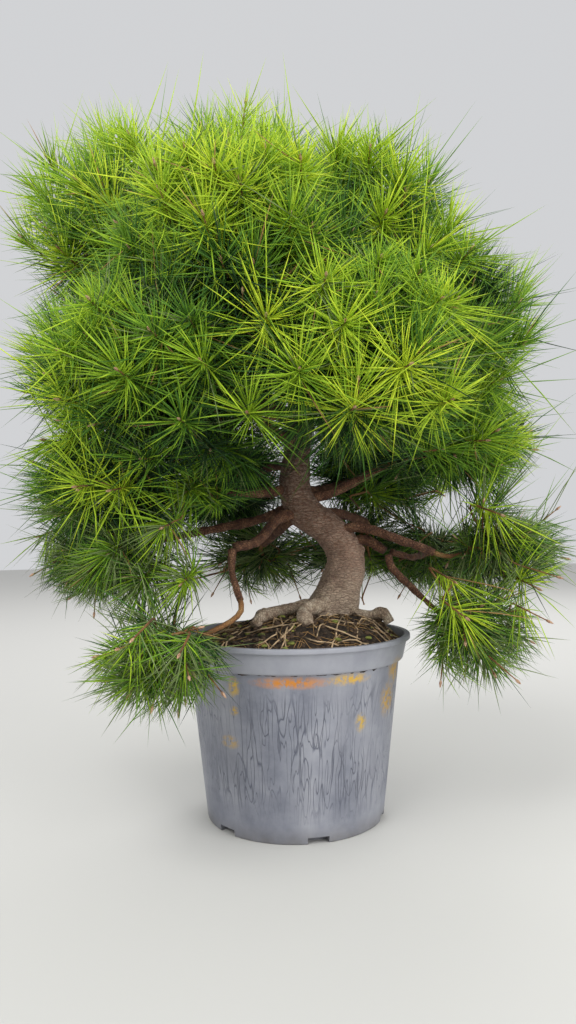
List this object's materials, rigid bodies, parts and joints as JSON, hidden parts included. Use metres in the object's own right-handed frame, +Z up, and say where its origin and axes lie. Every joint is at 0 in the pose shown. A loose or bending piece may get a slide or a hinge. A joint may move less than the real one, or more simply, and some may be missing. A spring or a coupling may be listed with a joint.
{
  "type": "potted aleppo pine",
  "caption": "Young pine with an S-bent trunk and a full crown of long needle tufts, standing in its tapered grower's pot.",
  "frame": {"origin": "middle of the flat underside of the pot, where it stands", "axes": "+Z up along the pot's axis, the pictured front faces -Y, +X to the right seen from the front"},
  "size_m": [0.5406, 0.4666, 0.6659],
  "materials": {
    "bark": "rough bark, grey-tan at the foot and red-brown above",
    "young_bark": "scaly red-brown bark of the boughs",
    "root_bark": "pale, knobby surface roots",
    "pot_plastic": "weathered blue-grey plastic with fine cracks and lichen",
    "soil": "dark potting mix with dead needles, moss and fine roots",
    "foliage": "bright green needles, satin"
  },
  "bodies": {
    "root": {"bough_back_left": "young_bark", "bough_back_right": "young_bark", "bough_left": "young_bark", "bough_left_drop": "young_bark", "bough_left_high": "young_bark", "bough_low_side": "young_bark", "bough_right": "young_bark", "bough_right_back": "young_bark", "bough_right_drop": "young_bark", "bough_right_high": "young_bark", "bough_right_low": "young_bark", "bough_right_side": "young_bark", "inner_bough_back_left": "young_bark", "inner_bough_back_right": "young_bark", "inner_bough_front_left": "young_bark", "inner_bough_front_right": "young_bark", "inner_bough_left": "young_bark", "inner_bough_right": "young_bark", "inner_bough_skirt_back_left": "young_bark", "inner_bough_top_back": "young_bark", "inner_bough_top_front": "young_bark", "inner_bough_top_left": "young_bark", "inner_bough_top_right": "young_bark", "needles_back_left": "foliage", "needles_back_right": "foliage", "needles_front_left": "foliage", "needles_front_right": "foliage", "needles_left": "foliage", "needles_low_back": "foliage", "needles_low_left": "foliage", "needles_low_right": "foliage", "needles_low_right_back": "foliage", "needles_low_side": "foliage", "needles_right": "foliage", "needles_right_low_back": "foliage", "needles_right_side": "foliage", "needles_skirt_back_left": "foliage", "needles_skirt_back_right": "foliage", "needles_skirt_left": "foliage", "needles_skirt_right": "foliage", "needles_top": "foliage", "needles_top_back": "foliage", "needles_top_front": "foliage", "needles_top_left": "foliage", "needles_top_right": "foliage", "pot": "pot_plastic", "root_front": "root_bark", "root_left": "root_bark", "root_right": "root_bark", "soil": "soil", "trunk": "bark"}
  },
  "joints": []
}
